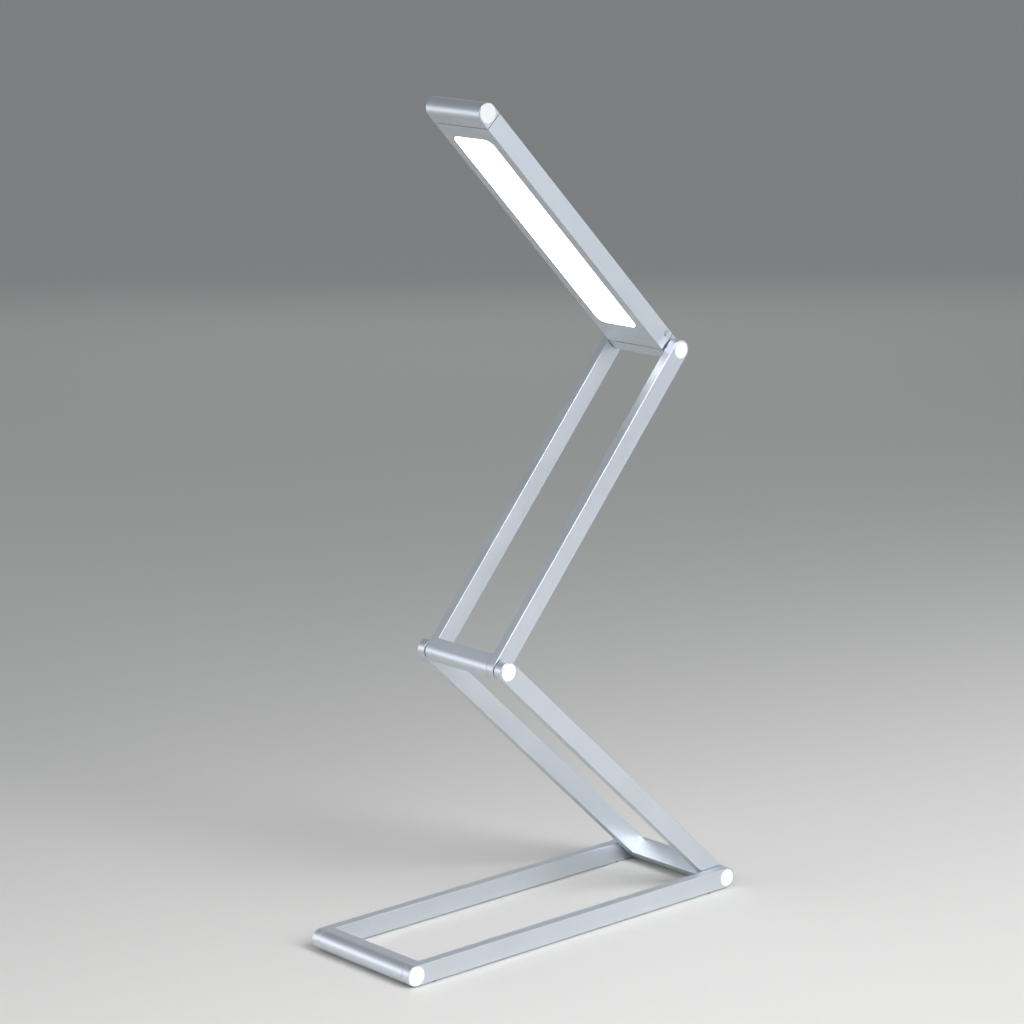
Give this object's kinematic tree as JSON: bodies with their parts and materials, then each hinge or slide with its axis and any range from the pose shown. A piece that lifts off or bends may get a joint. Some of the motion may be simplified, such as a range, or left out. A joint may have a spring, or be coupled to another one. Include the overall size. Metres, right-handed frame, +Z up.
{
  "type": "accordion desk lamp",
  "caption": "Folding desk lamp: nested aluminium frames hinged end to end like an accordion, under a slab head with a lit underside.",
  "frame": {"origin": "middle of the base frame, on the surface it stands on", "axes": "+Z up, +X along the base from its closed front crossbar to its hinge end, hinge axes along Y"},
  "size_m": [0.256, 0.087, 0.486],
  "materials": {
    "satin_aluminium": "satin anodised",
    "steel": "plain",
    "white_plastic": "gloss",
    "black_nylon": "matt",
    "foot_rubber": "matt",
    "opal_plastic": "opal, lit from behind",
    "reflector_plastic": "matt white",
    "board_white": "white solder mask on aluminium",
    "board_green": "solder mask",
    "light_chip": "phosphor",
    "battery_foil": "foil",
    "lead_rubber": "insulation",
    "black_component": "matt"
  },
  "bodies": {
    "base": {"base_crossbar": "satin_aluminium", "base_rail_left": "satin_aluminium", "base_rail_right": "satin_aluminium", "base_dowels": "steel", "base_bar_screws": "steel", "base_bar_caps": "white_plastic", "rubber_feet": "foot_rubber", "base_hinge_bushes": "black_nylon", "base_hinge_washers": "steel", "base_hinge_caps": "white_plastic"},
    "lower_arm": {"lower_arm_crossbar": "satin_aluminium", "lower_arm_rail_left": "satin_aluminium", "lower_arm_rail_right": "satin_aluminium", "lower_arm_dowels": "steel", "base_hinge_screws": "steel", "mid_hinge_bushes": "black_nylon", "mid_hinge_washers": "steel", "mid_hinge_caps": "white_plastic"},
    "upper_arm": {"upper_arm_crossbar": "satin_aluminium", "upper_arm_rail_left": "satin_aluminium", "upper_arm_rail_right": "satin_aluminium", "upper_arm_dowels": "steel", "mid_hinge_screws": "steel", "head_hinge_bushes": "black_nylon", "head_hinge_washers": "steel", "head_hinge_caps": "white_plastic"},
    "head": {"head_hinge_bar": "satin_aluminium", "head_tip_bar": "satin_aluminium", "head_tip_caps": "white_plastic", "head_housing": "satin_aluminium", "head_cover": "satin_aluminium", "head_cover_screws": "steel", "head_hinge_screws": "steel", "diffuser": "opal_plastic", "reflector_frame": "reflector_plastic", "led_board": "board_white", "led_chips": "light_chip", "battery_pack": "battery_foil", "battery_leads": "lead_rubber", "driver_board": "board_green", "driver_inductor": "black_component", "control_chip": "black_component", "charging_socket": "steel", "tactile_switch": "black_component"},
    "button": {"switch_button": "white_plastic"}
  },
  "joints": [
    {"name": "base_hinge", "type": "hinge", "parent": "base", "child": "lower_arm", "pos_m": [0.122, 0, 0.0068], "axis": [0, 1, 0], "range_deg": [-43.7, 66.3]},
    {"name": "mid_hinge", "type": "hinge", "parent": "lower_arm", "child": "upper_arm", "pos_m": [-0.04486, 0, 0.16626], "axis": [0, -1, 0], "range_deg": [-93, 4]},
    {"name": "head_hinge", "type": "hinge", "parent": "upper_arm", "child": "head", "pos_m": [0.09704, 0, 0.33123], "axis": [0, 1, 0], "range_deg": [-96, 1]},
    {"name": "switch_press", "type": "slide", "parent": "head", "child": "button", "axis": [0, 1, 0], "range_m": [0, 0.0004], "stiffness_N_per_m": 1500, "springref_m": -0.0002}
  ]
}
